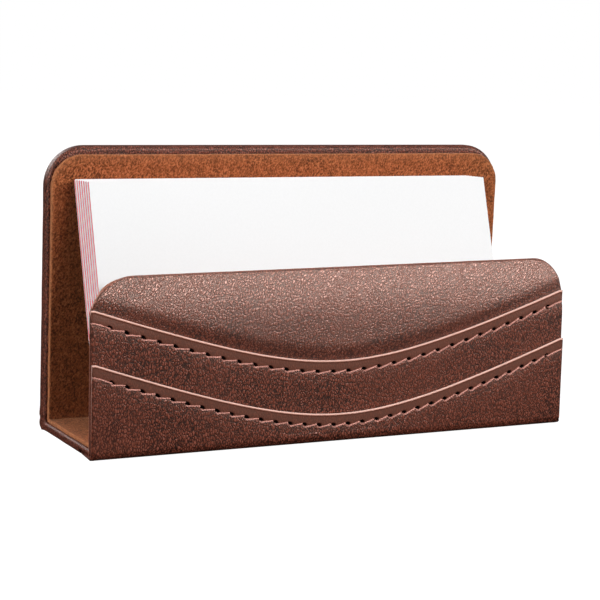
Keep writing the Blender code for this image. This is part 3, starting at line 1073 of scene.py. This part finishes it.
# A stitch between two slits, in millimetres: along the seam from the first slit, up, and out of the face;
# the last points are counted back from the second slit.
STITCH_START = [(-0.3, -0.22, -0.35), (-0.2, -0.36, -0.02), (0.12, -0.42, 0.08), (0.55, -0.28, 0.14)]
STITCH_END = [(1.25, 0.06, 0.14), (0.86, 0.14, 0.08), (0.68, 0.15, -0.08), (0.62, 0.1, -0.4)]
SEAM_DEPTH = VALLEY_DEPTH + 0.12 * MM  # how far the stitches' zero plane lies behind the band's face
PATH_STEPS = 5


def seam_point(x, low, front, along, up, out):
    """A place beside the seam: along it from x, above it and out of the band's face."""
    slope = smile_slope(x, low)
    lean = math.hypot(1, slope)
    across = x + along / lean
    z = smile(across, low) - STITCH_DROP * math.hypot(1, smile_slope(across, low))
    across -= up * slope / lean
    z += up / lean
    return Vector((across, FRONT + front + SEAM_DEPTH - out + front_shift(z), z))


def stitch_path(low, front, start, end):
    """The path of the stitch from one slit to the next."""
    first = [seam_point(start, low, front, *[value * MM for value in place]) for place in STITCH_START]
    last = [seam_point(end, low, front, -along * MM, up * MM, out * MM) for along, up, out in STITCH_END]
    return smooth_path([*first, *last], PATH_STEPS)


def end_loop(low, front, slit, side):
    """The last stitch runs round the side of the band and in behind it."""
    reach = HALF - 0.26 * MM
    mid = (slit + side * reach) / 2
    places = [
        seam_point(slit, low, front, 0, 0, -0.55 * MM),
        seam_point(slit, low, front, side * 0.1 * MM, -0.12 * MM, 0.0),
        seam_point(slit, low, front, side * 0.45 * MM, -0.1 * MM, 0.14 * MM),
        seam_point(mid, low, front, 0, 0.0, 0.13 * MM),
    ]
    corner = seam_point(side * (reach - 0.35 * MM), low, front, 0, 0.0, 0.08 * MM)
    places += [
        corner,
        corner + Vector((side * 0.33 * MM, 0.26 * MM, 0)),
        corner + Vector((side * 0.26 * MM, 0.62 * MM, 0)),
        corner + Vector((-side * 0.4 * MM, 0.72 * MM, 0)),
    ]
    return smooth_path(places, PATH_STEPS)


def make_stitching(name, low, front, pitch, thread, replaced):
    """A row of separate twisted stitches, with a loop round the band at each end."""
    slits = slit_places(low, pitch)
    paths = [stitch_path(low, front, start, end) for start, end in zip(slits, slits[1:])]
    paths += [end_loop(low, front, slits[-1], 1), end_loop(low, front, slits[0], -1)]
    stitches = new_mesh(name, *merged([twisted(path) for path in paths]))
    new_piece(name, stitches, [thread], "holder", replaced)


# ---------------------------------------------------------------- the cards

CARD_LAYERS = (0.0, 0.04, 0.27, 0.73, 0.96, 1.0)  # shares: chamfer, white, red core, white, chamfer
CORE_LAYER = 2
CARD_CHAMFER = 0.035 * MM
CAD_CARD_THICKNESS = 0.7 * MM
WHITE_CARD = (0.66, 0.66, 0.663)
WHITE_SPECK = (0.65, 0.65, 0.653)
RED_CORE = (0.84, 0.01, 0.045)
RED_SPECK = (0.74, 0.005, 0.03)


def card_mesh(node, name):
    """A sharp-cornered card of three layers, standing in its CAD node's place."""
    low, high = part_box(node)
    up = Vector((0, math.sin(CARD_LEAN), math.cos(CARD_LEAN)))
    forward = Vector((0, -math.cos(CARD_LEAN), math.sin(CARD_LEAN)))
    height = (high.z - low.z - CAD_CARD_THICKNESS * math.sin(CARD_LEAN)) / math.cos(CARD_LEAN)
    foot = Vector((0, low.y + CAD_CARD_THICKNESS * math.cos(CARD_LEAN), low.z))
    rings = []
    for share in CARD_LAYERS:
        inset = CARD_CHAMFER if share in (0.0, 1.0) else 0.0
        left, right = low.x + inset, high.x - inset
        base = foot + forward * CARD_THICKNESS * share
        corners = [(left, inset), (right, inset), (right, height - inset), (left, height - inset)]
        rings.append([base + Vector((x, 0, 0)) + up * z for x, z in corners])
    mesh = new_mesh(name, *joined_rings(rings))
    for side in range(4):
        mesh.polygons[4 * CORE_LAYER + side].material_index = 1
    return mesh


def make_cards():
    white = make_card_stock("white_card", WHITE_CARD, WHITE_SPECK)
    red = make_card_stock("red_core", RED_CORE, RED_SPECK)
    for body in ("front_card", "card_stack"):
        for node in frame["record"]["behaviour"]["bodies"][body]:
            name = f"loose_{node}"
            new_piece(name, card_mesh(node, name), [white, red], body, node)


# ---------------------------------------------------------------- the stage


FLOOR_REACH = 3.0
FLOOR_GAP = 0.05 * MM
FLOOR_GREY = (0.1, 0.1, 0.1)
SURROUND_RADIUS = 2.8
BLACK = (0, 0, 0)


def glowing_material(name, colour, roughness):
    """White glow, with a little of the scene's light on top."""
    material, _, shader = new_material(name)
    shader.inputs["Base Color"].default_value = (*colour, 1)
    shader.inputs["Roughness"].default_value = roughness
    shader.inputs["Emission Color"].default_value = (1, 1, 1, 1)
    shader.inputs["Emission Strength"].default_value = 1.0
    return material


def floor_mesh():
    reach = FLOOR_REACH
    corners = [(-reach, -reach, 0), (reach, -reach, 0), (reach, reach, 0), (-reach, reach, 0)]
    mesh = bpy.data.meshes.new("floor")
    mesh.from_pydata(corners, [], [(0, 1, 2, 3)])
    mesh.materials.append(glowing_material("pale_floor", FLOOR_GREY, 0.9))
    return mesh


def surround_mesh():
    mesh = bpy.data.meshes.new("surround")
    data = bmesh.new()
    bmesh.ops.create_icosphere(data, subdivisions=4, radius=SURROUND_RADIUS)
    data.to_mesh(mesh)
    data.free()
    mesh.materials.append(glowing_material("white_surround", BLACK, 1.0))
    return mesh


def make_stage():
    """A pale floor and a white surround that only the camera sees, so that neither lights the leather."""
    floor = bpy.data.objects.new("floor", floor_mesh())
    floor.location.z = LOW.z - FLOOR_GAP
    surround = bpy.data.objects.new("surround", surround_mesh())
    for obj in (floor, surround):
        bpy.context.scene.collection.objects.link(obj)
        obj.visible_diffuse = False
        obj.visible_glossy = False
        obj.visible_shadow = False


def area_light(name, place, target, size, power):
    light = bpy.data.lights.new(name, "AREA")
    light.shape = "RECTANGLE"
    light.size, light.size_y = size
    light.energy = power
    obj = bpy.data.objects.new(name, light)
    bpy.context.scene.collection.objects.link(obj)
    obj.location = place
    obj.rotation_mode = "QUATERNION"
    obj.rotation_quaternion = (Vector(target) - Vector(place)).to_track_quat("-Z", "Y")


def make_world():
    """Soft light from above that fades to dark below the horizon."""
    world = bpy.data.worlds.new("studio")
    bpy.context.scene.world = world
    world.use_nodes = True
    tree = world.node_tree
    place = tree.nodes.new("ShaderNodeTexCoord").outputs["Generated"]
    height = add_node(tree, "ShaderNodeSeparateXYZ", {"Vector": place}).outputs["Z"]
    back = tree.nodes["Background"]
    back.inputs["Color"].default_value = (1, 1, 1, 1)
    plug(tree, ramp(tree, height, -0.2, 0.9, 0.015, 0.08), back.inputs["Strength"])


# Each area light: its name, its place, the place it faces, its size and its power in watts
LIGHTS = (
    ("key", (0.38, -0.70, 0.27), (0, 0, 0.03), (0.5, 0.12), 7.2),
    ("fill", (-0.5, -0.55, 0.55), (0, 0, 0.03), (0.5, 0.5), 0.6),
    ("top", (0.05, -0.1, 0.75), (0, 0, 0.02), (0.6, 0.4), 2.2),
    ("right", (0.8, -0.1, 0.3), (0, 0, 0.02), (0.4, 0.5), 1.5),
    ("left", (-0.8, -0.05, 0.3), (0, 0, 0.02), (0.4, 0.5), 6.5),
    ("rear", (-0.25, 0.85, 0.4), (0, 0, 0.03), (0.6, 0.4), 3),
)


# The camera: its place from the middle of the front's foot, its turn, its pitch, its roll and its lens
CAMERA_PLACE = (-161.7 * MM, -306.2 * MM, 76.6 * MM)
CAMERA_TURN = math.radians(-26.36)
CAMERA_PITCH = math.radians(7.92)
CAMERA_ROLL = math.radians(1.39)
LENS = 106.27
SENSOR_WIDTH = 36


def make_camera():
    data = bpy.data.cameras.new("camera")
    data.lens = LENS
    data.sensor_width = SENSOR_WIDTH
    camera = bpy.data.objects.new("camera", data)
    bpy.context.scene.collection.objects.link(camera)
    camera.location = Vector((0, FRONT, LOW.z)) + Vector(CAMERA_PLACE)
    turn = Matrix.Rotation(CAMERA_TURN, 4, "Z") @ Matrix.Rotation(math.pi / 2 - CAMERA_PITCH, 4, "X")
    camera.rotation_euler = (turn @ Matrix.Rotation(CAMERA_ROLL, 4, "Z")).to_euler()
    bpy.context.scene.camera = camera


def finish_boards(board):
    for node in ("back_board", "base_board", "front_board"):
        frame["nodes"][node].material_slots[0].material = board


def main():
    bpy.context.scene.view_settings.view_transform = "Standard"
    make_camera()
    make_world()
    for light in LIGHTS:
        area_light(*light)
    make_stage()
    leather = make_leather("brown_leather", GRAIN_TURN, SHINE)
    suede = make_suede("tan_suede")
    thread = make_thread()
    finish_boards(make_board())
    make_bands(leather, make_slit_shade())
    make_upper_front(make_leather("upper_leather", UPPER_GRAIN_TURN, UPPER_SHINE))
    make_cover(leather)
    make_back_lining(suede)
    make_base_lining(suede)
    make_front_lining(suede)
    make_stitching("upper_thread", MIDDLE_LOW, MIDDLE_FRONT, UPPER_PITCH, thread, "upper_stitching")
    make_stitching("lower_thread", LOWER_LOW, LOWER_FRONT, LOWER_PITCH, thread, "lower_stitching")
    make_cards()


main()
